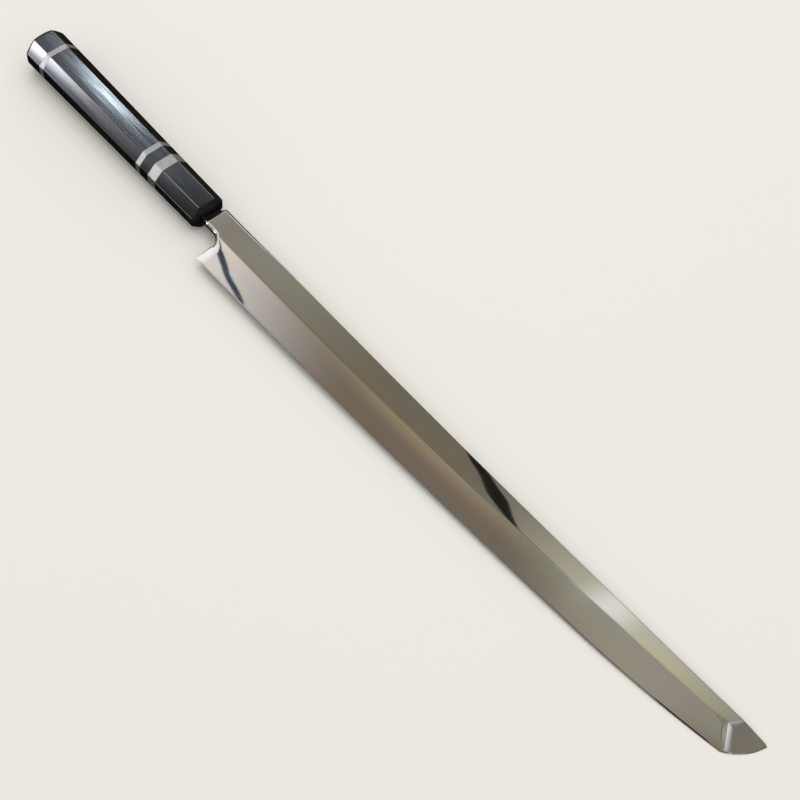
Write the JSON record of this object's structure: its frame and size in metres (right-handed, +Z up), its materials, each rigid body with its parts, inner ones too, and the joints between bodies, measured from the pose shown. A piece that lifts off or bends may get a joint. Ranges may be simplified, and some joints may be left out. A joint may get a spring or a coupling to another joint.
{
  "type": "takohiki knife",
  "caption": "Long single-bevel slicing knife with a sword-like point and hollow back, its tang glued into an octagonal dark wood handle with metal rings and horn ends.",
  "frame": {"origin": "bottom centre of the box around the knife as it lies on a table with its bevelled side up", "axes": "+X along the knife from butt to tip, +Y from the cutting edge towards the spine, +Z up from the table"},
  "size_m": [0.5652, 0.0372, 0.0222],
  "materials": {
    "blade_steel": "carbon steel, ground and mirror polished",
    "ring_metal": "nickel silver, satin",
    "horn": "black buffalo horn, polished",
    "ebony": "ebony, fine grain, oiled and polished",
    "dowel_wood": "plain turned hardwood",
    "resin": "set glue, dark"
  },
  "bodies": {
    "root": {"blade": "blade_steel", "ferrule": "horn", "wide_ring": "ring_metal", "ring_spacer": "ebony", "thin_ring": "ring_metal", "grip": "ebony", "rear_ring": "ring_metal", "end_cap": "horn", "tang_dowel": "dowel_wood", "cap_dowel": "dowel_wood", "tang_seal": "resin", "tang_bedding": "resin"}
  },
  "joints": []
}
